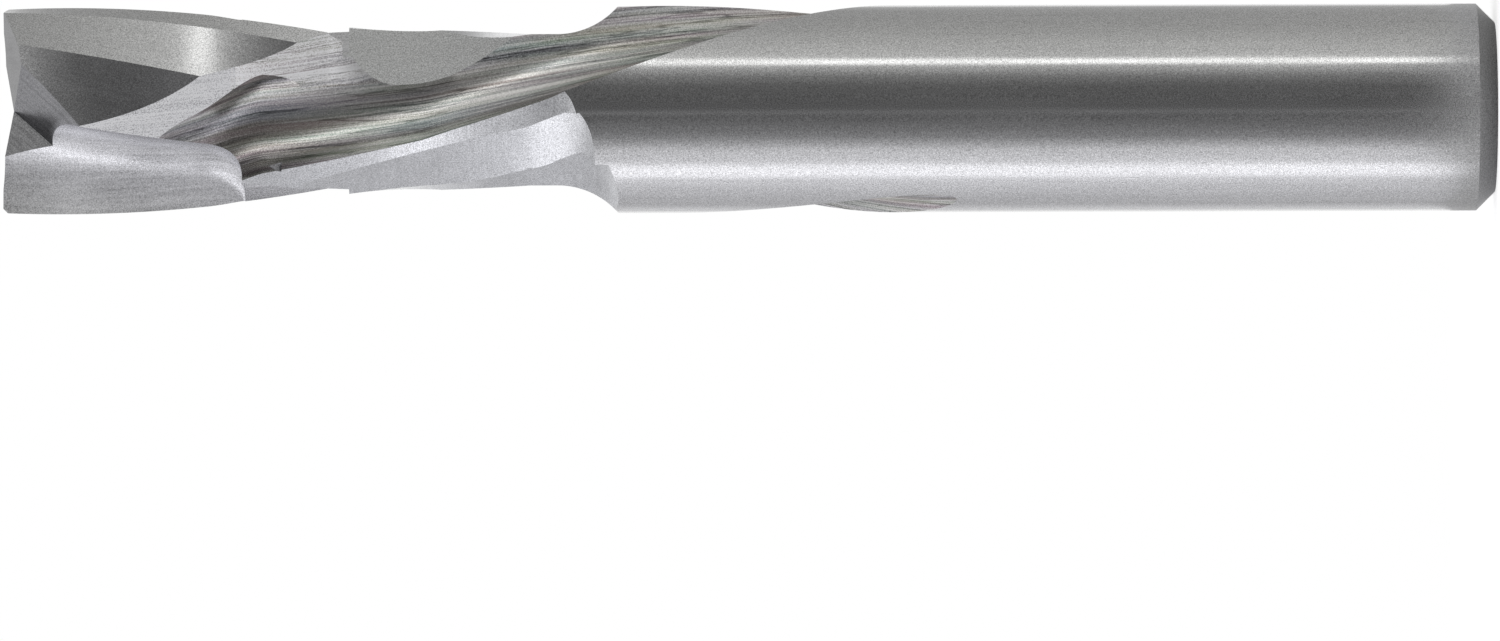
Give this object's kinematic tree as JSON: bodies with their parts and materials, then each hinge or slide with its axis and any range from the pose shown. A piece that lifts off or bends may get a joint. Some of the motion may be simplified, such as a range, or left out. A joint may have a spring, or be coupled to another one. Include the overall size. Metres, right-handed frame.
{
  "type": "milling cutter",
  "caption": "Solid carbide end mill: straight round shank, relieved neck with left-hand body flutes, and helical cutting teeth with a notched, dished end.",
  "frame": {"origin": "centre of the flat shank end face, which the tool stands on", "axes": "+Z along the tool axis towards the cutting end; the two cutting corners lie close to the X axis; -Y faces the viewer of the picture"},
  "size_m": [0.01, 0.01, 0.072],
  "materials": {
    "ground_carbide": "ground tungsten carbide, fine grinding lines, bright"
  },
  "bodies": {
    "root": {"milling_cutter": "ground_carbide"}
  },
  "joints": []
}
